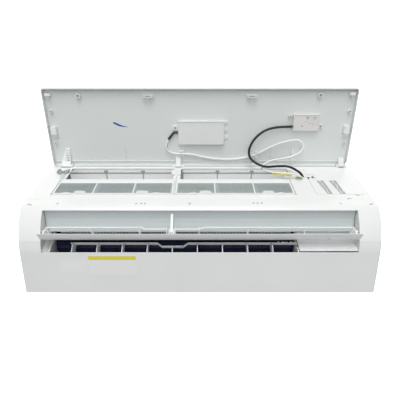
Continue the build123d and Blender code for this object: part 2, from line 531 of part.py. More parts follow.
for x in (-322.0, -23.0, 318.0):
    cs = fuse(cs, Solid.make_cylinder(6.0, 3.4, Plane((x, 101.5, 173.4))))
    screws.append(fuse(Solid.make_cylinder(3.2, 1.5, Plane((x, 101.5, 176.2))), Solid.make_cylinder(1.9, 5.0, Plane((x, 101.5, 171.8)))))
    cs = cut(cs, Solid.make_cylinder(1.9, 20, Plane((x, 101.5, 166))), Solid.make_cylinder(3.3, 4, Plane((x, 101.5, 176.2))))
parts["frame_screws"] = [uni(s_) for s_ in screws]
parts["front_casing"] = [sorted(cs.solids(), key=lambda s: -s.volume)[0]]
grom = fuse(box(257, 279, 208.5, 235.5, 178.0, 179.2), [Solid.make_cylinder(13.5, 1.2, Plane((x, 222, 178))) for x in (257, 279)])
grom = cut(grom, box(257, 279, 211, 233, 170, 190), [Solid.make_cylinder(11.0, 20, Plane((x, 222, 170))) for x in (257, 279)])
put("cable_grommet", uni(grom))

# ---------------------------------------------------------------- opened front panel
c_, s_n = math.cos(math.radians(180 - OPEN_DEG)), math.sin(math.radians(180 - OPEN_DEG))
PL = Plane(origin=(0, HINGE_Y, HINGE_Z), x_dir=(1, 0, 0), z_dir=(0, -s_n, c_)).location


def pp(x, s, n):
    """Point in panel terms: s away from the hinge, n from the rim plane towards the show face."""
    return (x, HINGE_Y + c_ * s + s_n * n, HINGE_Z + s_n * s - c_ * n)


def pbox(x0, x1, s0, s1, n0, n1):
    return box(x0, x1, s0, s1, -n1, -n0)


def pcyl(x, s, n0, n1, r):
    return Solid.make_cylinder(r, n1 - n0, Plane((x, s, -n1)))


def pplace(sol):
    return sol.moved(PL)


N_OUT, N_IN = 13.6, 11.1
pan_o = pbox(-PANEL_W / 2, PANEL_W / 2, -1.2, PANEL_L, 0.8, N_OUT)
pan_o = uni(pan_o.fillet(5.0, pan_o.edges().filter_by(Axis.Z)))
rim = pan_o.edges().filter_by(lambda e: abs(e.center().Z + N_OUT) < 0.01)
pan_o = uni(pan_o.fillet(3.6, rim))
pocket = pbox(-PANEL_W / 2 + 2.6, PANEL_W / 2 - 2.6, 1.2, PANEL_L - 2.6, -1, N_IN)
pocket = uni(pocket.fillet(3.0, pocket.edges().filter_by(Axis.Z)))
panel = cut(pan_o, pocket)
notches = [pbox(a, b, -4, 9, -2, 8.0) for a, b in ((-379.5, -338.0), (-73, -43.5), (363.5, 394.5))]
panel = cut(panel, notches)
ribs_ = [pbox(-391.5, 391.5, 190.0, 191.6, 6.5, N_IN), pbox(-391.5, 391.5, 10.0, 11.6, 8.5, N_IN)]
ribs_ += [pbox(x, x + 1.4, 11.5, 52, 9.0, N_IN) for x in (-200, 190)]
bosses = []
for x, s in ((-305, 180), (301, 182)):
    bosses.append(cut(pcyl(x, s, 4.0, N_IN, 6.0), pcyl(x, s, 0, N_IN, 3.6)))
for x, s in ((-380, 142), (-381, 60), (381, 142), (381, 60)):
    bosses.append(cut(pcyl(x, s, 5.0, N_IN, 3.6), pcyl(x, s, 0, N_IN, 1.6)))
panel = fuse([panel] + ribs_ + bosses)
panel = cut(panel, notches)
panel = sorted(panel.solids(), key=lambda s: -s.volume)[0]
put("front_panel", pplace(panel))


def hinge_arm(x0, x1, p0, p1, top):
    """Arm with a pin hub between two sockets; p0..p1 is the pin's reach."""
    poly = [(-2.2, 3.2), (3.2, -2.2), (12, 2.5), (top, 8.6), (top, N_IN), (-1.0, N_IN)]
    f = make_face(Plane.YZ.offset(x0) * Polyline(*[(a, -b) for a, b in poly], close=True))
    a = extrude(f, x1 - x0, dir=(1, 0, 0)).solids()[0]
    a = fuse(a, rod((x0, 0, 0), (x1, 0, 0), 4.0))
    a = cut(a, panel)
    a = max(a.solids(), key=lambda q: q.volume)
    a = fuse(a, rod((p0, 0, 0), (p1, 0, 0), 2.0))
    if top > 30:
        a = cut(a, [box(x1 - 10.5, x1 - 1.8, 12.5 + 6.4 * i, 16.4 + 6.4 * i, -N_IN + 1.6, 10) for i in range(5)])
        a = cut(a, prism_z([(x0 - 1, 10), (x0 - 1, top + 1), (x1 - 9.5, top + 1)], -N_IN - 1, 10))
    return max(a.solids(), key=lambda q: q.volume)


put("hinge_arm_left", pplace(hinge_arm(-370.4, -347.0, -376.2, -341.2, 45)))
put("hinge_arm_right", pplace(hinge_arm(371.5, 385.5, 365.8, 391.2, 20)))
put("hinge_clip_centre", pplace(hinge_arm(-64.5, -51.9, -70.1, -46.3, 24)))

dbx = cut(pbox(-57, 63, 57.5, 118, 2.6, N_IN), pbox(-55.2, 61.2, 59.3, 116.2, 4.4, N_IN + 1))
dbx = fuse(dbx, pbox(63, 73, 112, 118, 8.2, N_IN), pbox(63, 71, 93, 99, 8.2, N_IN), pbox(63, 73, 72, 80, 8.2, N_IN),
           pbox(-72, -57, 94, 106, 8.2, N_IN))
dbx = cut(dbx, pbox(-58, -54, 84, 92, 5.0, 12))
put("display_box", pplace(uni(dbx)))
dbd = fuse(pbox(-50, 50, 66, 114, 7.4, 9.0), pbox(-30, 30, 74, 106, 9.0, N_IN), pbox(-48, -40, 84, 92, 5.2, 7.4))
put("display_board", pplace(uni(dbd)))
elbow_pts = [(-55.3, 88, -8.0), (-68.5, 88.0, -7.8), (-83.0, 70.5, -5.8)]
ep = FilletPolyline(*elbow_pts, radius=5.0)
elb = sweep(Plane(origin=Vector(*elbow_pts[0]), z_dir=Vector(*elbow_pts[1]) - Vector(*elbow_pts[0])) * Circle(2.9), ep).solids()[0]
put("display_connector", pplace(elb))
wf = cut(pbox(239, 306, 94, 135, 2.6, N_IN), pbox(240.8, 304.2, 95.8, 133.2, 4.4, N_IN + 1))
wf = fuse(wf, pbox(306, 317, 99, 110, 6.6, N_IN), pcyl(231, 130, 4.0, N_IN, 4.2), pbox(231, 239, 128.6, 131.4, 8.5, N_IN))
wf = cut(wf, pbox(237, 242, 100.0, 108.0, 1, 12))
put("wireless_module", pplace(uni(wf)))
put("wireless_board", pplace(uni(fuse(pbox(246, 295, 102, 132, 7.4, 9.0), pbox(250, 262, 106, 114, 9.0, N_IN), pbox(276, 288, 118, 128, 9.0, N_IN)))))
cat = []
for x, s in ((-130, 177), (130, 177)):
    cat.append(fuse(pbox(x - 14, x + 14, s - 0.9, s + 0.9, 1.6, N_IN), pbox(x - 14, x + 14, s + 4.2, s + 6, 1.6, N_IN), pbox(x - 14, x + 14, s - 0.9, s + 6, 9.4, N_IN),
                    pbox(x - 1, x + 1, s - 8, s, 3.6, N_IN), pbox(x - 10, x - 6, s, s + 5, 3.6, N_IN), pbox(x + 6, x + 10, s, s + 5, 3.6, N_IN)))
for x, s in ((-380, 181), (380, 183)):
    cat.append(fuse(pbox(x - 7, x + 7, s - 1, s + 6, 1.8, N_IN), pbox(x - 1.2, x + 1.2, s - 8, s, 4.5, N_IN)))
for x, s in ((-379.5, 89), (379.5, 92)):
    cat.append(fuse(cut(pbox(x - 7, x + 7, s - 6, s + 14, 1.6, N_IN), pbox(x - 5.4, x + 5.4, s - 8, s + 6, 3.4, 9.5)), pbox(x - 6, x + 6, s - 14, s - 5, 7.6, N_IN)))
put("panel_catches", *[pplace(uni(q)) for q in cat])
cc = [fuse(pbox(147.5, 153.5, 22.2, 23.8, 1.5, N_IN), pbox(147.5, 153.5, 35.2, 36.8, 1.5, N_IN), pbox(147.5, 153.5, 22.2, 36.8, 9.4, N_IN)),
      fuse(pbox(-57, -43, 26.4, 28.0, 3.2, N_IN), pbox(-57, -43, 38.4, 40.0, 3.2, N_IN), pbox(-57, -43, 26.4, 40.0, 9.6, N_IN), pbox(-51, -49, 38.4, 44.5, 5.0, N_IN)),
      pbox(243.5, 246.3, 12.0, 44, 4.0, N_IN)]
put("cable_clips", *[pplace(uni(q)) for q in cc])

# ---------------------------------------------------------------- filters
def filt(x0, x1, tabs, bumps):
    y0, y1, z0, z1 = 139.0, 207.0, FILTER_Z, FILTER_Z + 3.2
    f = cut(box(x0, x1, y0, y1, z0, z1), box(x0 + 4, x1 - 4, y0 + 1.9, 187.0, z0 - 1, z1 + 1),
            box(x0 + 4, x1 - 4, 192, 203.4, z0 + 1.2, z1 + 1))
    bars = []
    n = 3
    for i in range(1, n):
        xc = x0 + (x1 - x0) * i / n
        bars.append(box(xc - 1.4, xc + 1.4, y0 + 2, 189, z0, z1))
    strands = []
    nx = int((x1 - x0) / 14.5)
    for i in range(1, nx):
        xs = x0 + (x1 - x0) * i / nx
        strands.append(box(xs - 0.4, xs + 0.4, y0 + 1, 189, z0 + 1.0, z0 + 1.8))
    ny = 3
    for i in range(1, ny):
        ys = y0 + (189 - y0) * i / ny
        strands.append(box(x0 + 3, x1 - 3, ys - 0.4, ys + 0.4, z0 + 1.0, z0 + 1.8))
    t = []
    # taller grips are flat-topped with round corners, the low ones are shallow domes
    for a, b in tabs:
        g, r, ya, yb = 9.4, 5.0, y0, y0 + 1.8
        tab = fuse(box(a + r, b - r, ya, yb, z0, z0 + g), box(a, b, ya, yb, z0, z0 + g - r),
                   rod((a + r, ya, z0 + g - r), (a + r, yb, z0 + g - r), r), rod((b - r, ya, z0 + g - r), (b - r, yb, z0 + g - r), r))
        t.append(cut(tab, box(a - 10, b + 10, ya - 5, yb + 5, z0 - 20, z0)))
    for row, h, ya, yb in ((bumps, 4.8, y0 - 2.0, y0 + 1.9),):
        for a, b in row:
            rr = ((b - a) ** 2 / 4 + h * h) / (2 * h)
            disc = rod(((a + b) / 2, ya, z0 + h - rr), ((a + b) / 2, yb, z0 + h - rr), rr)
            t.append(cut(disc, box(a - 60, b + 60, ya - 5, yb + 5, z0 - 90, z0)))
    return uni(fuse([f] + bars + strands + t))


put("filter_left", filt(-347.0, -63.6, ((-295, -268), (-150, -121)), ((-331, -297), (-118, -87))))
put("filter_right", filt(-58.4, 223.4, ((-1, 27), (146.5, 173.5)), ((-29, -3), (176, 204))))

# ---------------------------------------------------------------- cables from the panel to the wiring box
CABLE_W, CABLE_B = 5.0, 6.0
white_pts = [pp(-83.5, 69.9, 5.77), pp(-91.5, 57.0, 3.9), pp(-87.0, 39.5, 4.2), pp(-66, 31.5, 5.0), pp(-30, 32, 6.0),
             pp(5, 23.5, 6.3), pp(40, 17.2, 6.3), pp(78, 15.6, 6.2), pp(115, 19.2, 6.0), pp(150, 29, 5.4), pp(180, 48, 3.5),
             pp(210, 62, 2.0), pp(237, 68.5, 1.5), pp(259, 71, 1.0), pp(271.7, 58.3, -1.0), pp(268.9, 40.5, -4.0),
             pp(243, 27.5, -6.0), pp(215, 21.5, -7.5), pp(188, 17.5, -7.5), (162, 267, 189), (166, 241, 186),
             (198, 229.5, 186.5), (238, 224, 188.5), (261, 218.5, 181), (269.5, 215.5, 163)]
black_pts = [pp(241, 104, 5.5), pp(208, 104.5, 3.5), pp(172, 98.5, 1.5), pp(144, 79, -3.0), pp(127.5, 50, -7.0),
             pp(129, 27, -11.5), (146, 261, 198), (171, 249.5, 193), (199, 257.5, 192), (231, 257.5, 192.5), (247, 237, 191.5),
             (261, 225, 185), (270, 223.5, 163)]


def cord(name, pts, dia, rmin):
    v = [Vector(*p) for p in pts]
    radii = []
    for i in range(1, len(v) - 1):
        a, b = v[i] - v[i - 1], v[i + 1] - v[i]
        turn = math.radians(a.get_angle(b))
        radii.append(0.45 * min(a.length, b.length) / math.tan(turn / 2))
    print(name, "radii", [round(r) for r in radii])
    if min(radii) < rmin:
        print(name, "RADIUS LOW", min(radii))
    path = FilletPolyline(*pts, radius=radii)
    sec = Plane(origin=v[0], z_dir=v[1] - v[0]) * Circle(dia / 2)
    t = sweep(sec, path).solids()[0]
    print(name, "length", round(path.length, 1), "volume ratio", round(t.volume / (math.pi * dia * dia / 4 * path.length), 4))
    put(name, t)
    for p in pts:
        print("   (%.5f, %.5f, %.5f)," % (p[0] / 1000, (p[1] - H / 2) / 1000, p[2] / 1000))


cord("cable_white", white_pts, CABLE_W, 14.9)
cord("cable_black", black_pts, CABLE_B, 17.9)

# ---------------------------------------------------------------- export
os.makedirs("parts", exist_ok=True)
for n, sol in parts.items():
    moved = [s.moved(Location((0, -H / 2, 0))) for s in sol]
    export_step(moved[0] if len(moved) == 1 else Compound(children=moved), "parts/%s.step" % n)
print(len(parts), "nodes")
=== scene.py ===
import bpy
import bmesh
import math
import random
from mathutils import Vector, Matrix


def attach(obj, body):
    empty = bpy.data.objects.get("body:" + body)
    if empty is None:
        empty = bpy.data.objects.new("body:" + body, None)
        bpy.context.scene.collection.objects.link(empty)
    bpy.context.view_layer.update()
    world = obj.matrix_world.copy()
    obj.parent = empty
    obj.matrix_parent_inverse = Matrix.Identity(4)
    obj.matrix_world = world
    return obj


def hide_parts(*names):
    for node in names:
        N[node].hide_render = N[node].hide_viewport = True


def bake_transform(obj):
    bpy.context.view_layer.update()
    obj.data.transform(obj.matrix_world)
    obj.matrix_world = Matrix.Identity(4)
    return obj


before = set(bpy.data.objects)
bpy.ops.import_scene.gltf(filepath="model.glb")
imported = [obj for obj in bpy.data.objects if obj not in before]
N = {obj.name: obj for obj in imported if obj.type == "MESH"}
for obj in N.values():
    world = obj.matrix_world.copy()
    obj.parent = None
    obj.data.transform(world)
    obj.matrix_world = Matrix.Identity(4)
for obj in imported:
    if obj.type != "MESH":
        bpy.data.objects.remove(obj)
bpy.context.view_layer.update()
rnd = random.Random(11)

# ------------------------------------------------------------------ places
# Drawing coordinates in millimetres: x right, y up from the bottom edge, z away from the wall.
OPEN = math.radians(180 - 99.4)
CO, SI = math.cos(OPEN), math.sin(OPEN)
HY, HZ = 282.0, 180.4
VB = (41.0, 70.0)
WD = (-0.41, 0.9121)
ND = (0.9121, 0.41)


def L(x, y, z):
    return Vector((x / 1000, (y - 148.5) / 1000, z / 1000))


def P(x, s, n):
    """Panel terms: s away from the hinge, n from the rim plane towards the show face."""
    return L(x, HY + CO * s + SI * n, HZ + SI * s - CO * n)


def V(x, u, t):
    """Lower duct wall terms: u along the wall towards the outlet, t off it."""
    return L(x, VB[0] + u * WD[0] + t * ND[0], VB[1] + u * WD[1] + t * ND[1])


# ------------------------------------------------------------------ camera
cam_data = bpy.data.cameras.new("camera")
cam = bpy.data.objects.new("camera", cam_data)
bpy.context.scene.collection.objects.link(cam)
cam.location = (0.0, -0.7011, 0.60545)
cam.rotation_euler = (math.radians(56.72), 0.0, 0.0)
cam_data.sensor_width = 36.0
cam_data.sensor_fit = "HORIZONTAL"
cam_data.lens = 345.85 / 400.0 * 36.0
cam_data.shift_y = 0.010
cam_data.clip_start = 0.01
cam_data.clip_end = 100.0
bpy.context.scene.camera = cam

# ------------------------------------------------------------------ cables
WHITE = [(-0.08350, 0.15061, 0.24842), (-0.09150, 0.14666, 0.23600), (-0.08700, 0.14409, 0.21868),
         (-0.06600, 0.14358, 0.21066), (-0.03000, 0.14465, 0.21099), (0.00500, 0.14355, 0.20256),
         (0.04000, 0.14252, 0.19634), (0.07800, 0.14216, 0.19478), (0.11500, 0.14256, 0.19836),
         (0.15000, 0.14356, 0.20813), (0.18000, 0.14479, 0.22718), (0.21000, 0.14560, 0.24124),
         (0.23700, 0.14617, 0.24774), (0.25900, 0.14608, 0.25028), (0.27170, 0.14204, 0.23808),
         (0.26890, 0.13617, 0.22101), (0.24300, 0.13207, 0.20851), (0.21500, 0.12961, 0.20284),
         (0.18800, 0.12896, 0.19889), (0.16200, 0.11850, 0.18900), (0.16600, 0.09250, 0.18600),
         (0.19800, 0.08100, 0.18650), (0.23800, 0.07550, 0.18850), (0.26100, 0.07000, 0.18100),
         (0.26950, 0.06700, 0.16300)]
BLACK = [tuple(P(241, 104, 5.5)), tuple(P(208, 104.5, 3.5)), tuple(P(172, 98.5, 1.5)), tuple(P(144, 79, -3.0)),
         tuple(P(127.5, 50, -7.0)), tuple(P(129, 27, -11.5)), tuple(L(146, 261, 198)), tuple(L(171, 249.5, 193)),
         tuple(L(199, 257.5, 192)), tuple(L(231, 257.5, 192.5)), tuple(L(247, 237, 191.5)), tuple(L(261, 225, 185)),
         tuple(L(270, 223.5, 163))]


def route(name, pts):
    """Smooth centreline through the route: read from a spline with no bevel."""
    cu = bpy.data.curves.new(name + "_line", "CURVE")
    cu.dimensions = "3D"
    sp = cu.splines.new("NURBS")
    sp.points.add(len(pts) - 1)
    for q, p in zip(sp.points, pts):
        q.co = (p[0], p[1], p[2], 1.0)
    sp.order_u = 3
    sp.use_endpoint_u = True
    sp.resolution_u = 10
    ob = bpy.data.objects.new(name + "_line", cu)
    bpy.context.scene.collection.objects.link(ob)
    bpy.context.view_layer.update()
    me = bpy.data.meshes.new_from_object(ob)
    out = [v.co.copy() for v in me.vertices]
    bpy.data.objects.remove(ob)
    bpy.data.meshes.remove(me)
    return out


def frames(pts):
    """Tangent and two side directions at each point, turned as little as possible."""
    n = len(pts)
    tan = []
    for i in range(n):
        a, b = pts[max(i - 1, 0)], pts[min(i + 1, n - 1)]
        tan.append((b - a).normalized())
    u = tan[0].orthogonal().normalized()
    res = []
    for i in range(n):
        u = (u - tan[i] * u.dot(tan[i])).normalized()
        res.append((tan[i], u, tan[i].cross(u)))
    return res


def tube_data(pts, r, seg=14, ring=None):
    fr = frames(pts)
    verts, faces = [], []
    for i, (p, (t, u, v)) in enumerate(zip(pts, fr)):
        rr = r[i] if isinstance(r, (list, tuple)) else r
        for k in range(seg):
            a = 2 * math.pi * k / seg
            verts.append(p + (u * math.cos(a) + v * math.sin(a)) * rr)
    for i in range(len(pts) - 1):
        for k in range(seg):
            a, b = i * seg + k, i * seg + (k + 1) % seg
            faces.append((a, b, b + seg, a + seg))
    faces.append(tuple(range(seg))[::-1])
    o = (len(pts) - 1) * seg
    faces.append(tuple(o + k for k in range(seg)))
    return verts, faces


def new_mesh(name, verts, faces, smooth=False):
    me = bpy.data.meshes.new(name)
    me.from_pydata([tuple(v) for v in verts], [], faces)
    bm = bmesh.new()
    bm.from_mesh(me)
    bmesh.ops.recalc_face_normals(bm, faces=bm.faces)
    bm.to_mesh(me)
    bm.free()
    if smooth:
        me.polygons.foreach_set("use_smooth", [True] * len(me.polygons))
    ob = bpy.data.objects.new(name, me)
    bpy.context.scene.collection.objects.link(ob)
    return ob


def smooth_by_angle(ob, deg=35):
    """Smooth faces with sharp edges kept where the surface turns by more than deg."""
    me = ob.data
    me.polygons.foreach_set("use_smooth", [True] * len(me.polygons))
    bm = bmesh.new()
    bm.from_mesh(me)
    lim = math.radians(deg)
    for e in bm.edges:
        e.smooth = not (len(e.link_faces) == 2 and e.calc_face_angle(0) > lim)
    bm.to_mesh(me)
    bm.free()
    return ob


white_line = route("cable_white", WHITE)
black_line = route("cable_black", BLACK)
cable_w = new_mesh("cord_white", *tube_data(white_line, 0.0025, 14), smooth=True)
cable_b = new_mesh("cord_black", *tube_data(black_line, 0.0030, 14), smooth=True)


# ------------------------------------------------------------------ materials
def node(nt, kind, **kw):
    n = nt.nodes.new(kind)
    for k, v in kw.items():
        setattr(n, k, v)
    return n


def base(name):
    m = bpy.data.materials.new(name)
    m.use_nodes = True
    nt = m.node_tree
    nt.nodes.clear()
    out = node(nt, "ShaderNodeOutputMaterial")
    bs = node(nt, "ShaderNodeBsdfPrincipled")
    nt.links.new(bs.outputs[0], out.inputs["Surface"])
    co = node(nt, "ShaderNodeTexCoord")
    return m, nt, bs, co


def noise(nt, co, scale, detail=3.0, rough=0.55, stretch=None):
    n = node(nt, "ShaderNodeTexNoise")
    n.inputs["Scale"].default_value = scale
    n.inputs["Detail"].default_value = detail
    n.inputs["Roughness"].default_value = rough
    if stretch:
        mp = node(nt, "ShaderNodeMapping")
        mp.inputs["Scale"].default_value = stretch
        nt.links.new(co.outputs["Object"], mp.inputs["Vector"])
        nt.links.new(mp.outputs[0], n.inputs["Vector"])
    else:
        nt.links.new(co.outputs["Object"], n.inputs["Vector"])
    return n


def ramp(nt, src, a, b, lo=0.3, hi=0.7):
    r = node(nt, "ShaderNodeValToRGB")
    r.color_ramp.elements[0].position = lo
    r.color_ramp.elements[1].position = hi
    r.color_ramp.elements[0].color = (*a, 1)
    r.color_ramp.elements[1].color = (*b, 1)
    nt.links.new(src, r.inputs[0])
    return r


def span(nt, src, lo, hi, a=0.3, b=0.7):
    m = node(nt, "ShaderNodeMapRange")
    m.inputs["From Min"].default_value = a
    m.inputs["From Max"].default_value = b
    m.inputs["To Min"].default_value = lo
    m.inputs["To Max"].default_value = hi
    nt.links.new(src, m.inputs["Value"])
    return m


def shade(c, k):
    return tuple(max(0.0, min(1.0, v * k)) for v in c)


def plastic(name, c, rough=0.35, var=0.02, grain=700.0, bump=0.06, coat=0.0, crease_darkening=0.0, spec=0.5, dist=0.0002):
    m, nt, bs, co = base(name)
    big = noise(nt, co, 7.0, 4.0)
    r = ramp(nt, big.outputs["Fac"], shade(c, 1 - var), shade(c, 1 + var))
    col = r.outputs[0]
    # darkens the colour towards 0.72 of itself in concave creases, read from Geometry Pointiness
    if crease_darkening:
        geo = node(nt, "ShaderNodeNewGeometry")
        pt = span(nt, geo.outputs["Pointiness"], 1.0, 0.0, 0.44, 0.5)
        mix = node(nt, "ShaderNodeMix", data_type="RGBA")
        k = node(nt, "ShaderNodeMath", operation="MULTIPLY")
        k.inputs[1].default_value = crease_darkening
        nt.links.new(pt.outputs[0], k.inputs[0])
        nt.links.new(k.outputs[0], mix.inputs[0])
        nt.links.new(col, mix.inputs[6])
        mix.inputs[7].default_value = (*shade(c, 0.72), 1)
        col = mix.outputs[2]
    nt.links.new(col, bs.inputs["Base Color"])
    rr = span(nt, noise(nt, co, 21.0, 3.0).outputs["Fac"], rough - 0.04, rough + 0.05)
    nt.links.new(rr.outputs[0], bs.inputs["Roughness"])
    fine = noise(nt, co, grain, 2.0)
    bp = node(nt, "ShaderNodeBump")
    bp.inputs["Strength"].default_value = bump
    bp.inputs["Distance"].default_value = dist
    nt.links.new(fine.outputs["Fac"], bp.inputs["Height"])
    nt.links.new(bp.outputs[0], bs.inputs["Normal"])
    bs.inputs["Specular IOR Level"].default_value = spec
    if coat:
        bs.inputs["Coat Weight"].default_value = coat
        bs.inputs["Coat Roughness"].default_value = 0.12
    return m


def metal(name, c, rough=0.3, var=0.06, brushed=None, bump=0.08, spots=0.0, grain=260.0):
    m, nt, bs, co = base(name)
    bs.inputs["Metallic"].default_value = 1.0
    big = noise(nt, co, 30.0, 4.0, stretch=brushed)
    r = ramp(nt, big.outputs["Fac"], shade(c, 1 - var), shade(c, 1 + var))
    nt.links.new(r.outputs[0], bs.inputs["Base Color"])
    rr = span(nt, noise(nt, co, 60.0, 3.0, stretch=brushed).outputs["Fac"], rough - 0.06, rough + 0.1)
    nt.links.new(rr.outputs[0], bs.inputs["Roughness"])
    fine = noise(nt, co, grain, 3.0, stretch=brushed)
    bp = node(nt, "ShaderNodeBump")
    bp.inputs["Strength"].default_value = bump
    bp.inputs["Distance"].default_value = 0.0002
    nt.links.new(fine.outputs["Fac"], bp.inputs["Height"])
    nt.links.new(bp.outputs[0], bs.inputs["Normal"])
    return m


def galvanised(name):
    """Spangled zinc: cells of slightly different grey."""
    m, nt, bs, co = base(name)
    bs.inputs["Metallic"].default_value = 1.0
    v = node(nt, "ShaderNodeTexVoronoi")
    v.inputs["Scale"].default_value = 95.0
    nt.links.new(co.outputs["Object"], v.inputs["Vector"])
    sep = node(nt, "ShaderNodeSeparateColor")
    nt.links.new(v.outputs["Color"], sep.inputs[0])
    r = ramp(nt, sep.outputs[0], (0.50, 0.52, 0.54), (0.74, 0.75, 0.77), 0.0, 1.0)
    nt.links.new(r.outputs[0], bs.inputs["Base Color"])
    rr = span(nt, sep.outputs[1], 0.28, 0.48, 0.0, 1.0)
    nt.links.new(rr.outputs[0], bs.inputs["Roughness"])
    bp = node(nt, "ShaderNodeBump")
    bp.inputs["Strength"].default_value = 0.05
    bp.inputs["Distance"].default_value = 0.0002
    nt.links.new(noise(nt, co, 420.0, 2.0).outputs["Fac"], bp.inputs["Height"])
    nt.links.new(bp.outputs[0], bs.inputs["Normal"])
    return m


M = {}
M["casing"] = plastic("casing_plastic", (0.845, 0.855, 0.838), 0.32, 0.012, 900, 0.05, coat=0.12)
M["chassis"] = plastic("chassis_plastic", (0.80, 0.81, 0.80), 0.42, 0.02, 700, 0.08)
M["panel"] = plastic("panel_plastic", (0.76, 0.795, 0.78), 0.36, 0.008, 500, 0.015)
M["inner"] = plastic("inner_plastic", (0.82, 0.83, 0.82), 0.40, 0.02, 700, 0.07)
M["louver"] = plastic("louver_plastic", (0.93, 0.94, 0.935), 0.30, 0.012, 900, 0.04, coat=0.12)
M["bright"] = plastic("bright_plastic", (0.90, 0.91, 0.91), 0.34, 0.01, 800, 0.05, coat=0.1)
M["vane"] = plastic("vane_plastic", (0.90, 0.915, 0.935), 0.36, 0.02, 700, 0.05)
M["filter"] = plastic("filter_frame_plastic", (0.87, 0.88, 0.87), 0.38, 0.015, 700, 0.06)
M["mesh"] = plastic("filter_mesh_strand", (0.50, 0.56, 0.555), 0.5, 0.04, 600, 0.06)
M["foam"] = plastic("pan_plastic", (0.53, 0.575, 0.58), 0.40, 0.02, 500, 0.08)
M["fan"] = plastic("fan_plastic", (0.002, 0.006, 0.036), 0.5, 0.12, 500, 0.06, spec=0.25)
M["fin"] = plastic("fin_aluminium", (0.60, 0.655, 0.655), 0.34, 0.05, 500, 0.06, spec=0.8)
M["copper"] = metal("copper_tube", (0.56, 0.36, 0.26), 0.34, 0.18, None, 0.06)
M["brass"] = metal("brass_nut", (0.70, 0.55, 0.30), 0.32, 0.10, None, 0.05)
M["steel"] = metal("zinc_steel", (0.74, 0.75, 0.755), 0.32, 0.06, None, 0.06)
M["galv"] = galvanised("galvanised_steel")
M["motor"] = plastic("motor_resin", (0.70, 0.71, 0.70), 0.48, 0.04, 300, 0.14)
M["black"] = plastic("black_plastic", (0.022, 0.022, 0.024), 0.38, 0.15, 500, 0.10)
M["rubber"] = plastic("dark_rubber", (0.020, 0.020, 0.021), 0.72, 0.2, 420, 0.2)
M["board"] = plastic("solder_mask", (0.035, 0.20, 0.085), 0.34, 0.10, 380, 0.10)
M["cord_w"] = plastic("white_sheath", (0.88, 0.885, 0.87), 0.42, 0.03, 500, 0.08)
M["cord_b"] = plastic("black_sheath", (0.010, 0.010, 0.012), 0.45, 0.15, 500, 0.12)
M["grey"] = plastic("grey_mark", (0.17, 0.17, 0.18), 0.5, 0.08, 500, 0.05)
M["pale"] = plastic("pale_mark", (0.62, 0.63, 0.63), 0.5, 0.05, 500, 0.05)
M["warm"] = plastic("warm_grey_plastic", (0.78, 0.765, 0.74), 0.42, 0.03, 500, 0.07)
M["clear"] = plastic("hinge_plastic", (0.36, 0.38, 0.38), 0.28, 0.04, 500, 0.05, coat=0.3)
M["yellow"] = plastic("yellow_sleeve", (0.80, 0.70, 0.16), 0.45, 0.06, 500, 0.08)
M["sticker"] = plastic("yellow_film", (0.74, 0.66, 0.06), 0.35, 0.03, 300, 0.04, coat=0.3)
M["paper"] = plastic("pale_film", (0.835, 0.84, 0.825), 0.35, 0.02, 300, 0.04, coat=0.2)
M["green"] = plastic("green_wire", (0.20, 0.30, 0.04), 0.45, 0.06, 500, 0.08)
M["ink"] = plastic("blue_ink", (0.03, 0.08, 0.42), 0.5, 0.25, 900, 0.05)
M["insul"] = plastic("pipe_foam", (0.84, 0.84, 0.82), 0.75, 0.05, 160, 0.35, dist=0.0006)

LOOK = {
    "front_casing": "casing", "rear_chassis": "chassis", "wall_plate": "galv", "terminal_cover": "casing", "frame_screws": "steel",
    "outlet_blanks": "bright", "drain_pan": "foam", "drain_plug": "rubber", "coil_front": "fin", "coil_upper": "fin", "coil_rear": "fin",
    "coil_tubes": "copper", "coil_end_plates": "galv", "liquid_pipe": "copper", "gas_pipe": "copper", "flare_nuts": "brass",
    "pipe_clamp": "inner", "fan_motor": "motor", "motor_saddle": "inner", "fan_bearing": "rubber", "control_box": "inner",
    "control_box_lid": "inner", "main_board": "board", "terminal_block": "black", "louver_motor": "motor", "swing_motor": "motor",
    "louver_bush": "inner", "louver_post": "bright", "cable_grommet": "casing", "front_panel": "panel", "hinge_arm_left": "bright",
    "hinge_arm_right": "panel", "hinge_clip_centre": "inner", "display_box": "inner", "display_board": "board",
    "display_connector": "black", "wireless_module": "warm", "wireless_board": "board", "panel_catches": "bright",
    "cable_clips": "bright", "crossflow_fan": "fan", "fan_hub": "rubber", "fan_shafts": "steel", "louver_blade": "louver",
    "louver_guide": "bright", "vane_link": "vane", "swing_crank": "black", "filter_left": "filter", "filter_right": "filter",
    "cable_white": "cord_w", "cable_black": "cord_b"}
for k in range(1, 10):
    LOOK["vane_%d" % k] = "vane"


def dress(ob, mat):
    ob.data.materials.clear()
    ob.data.materials.append(mat)


for name, ob in N.items():
    mat = M[LOOK[name]]
    if ob.material_slots:
        for s in ob.material_slots:
            s.material = mat
    else:
        ob.data.materials.append(mat)

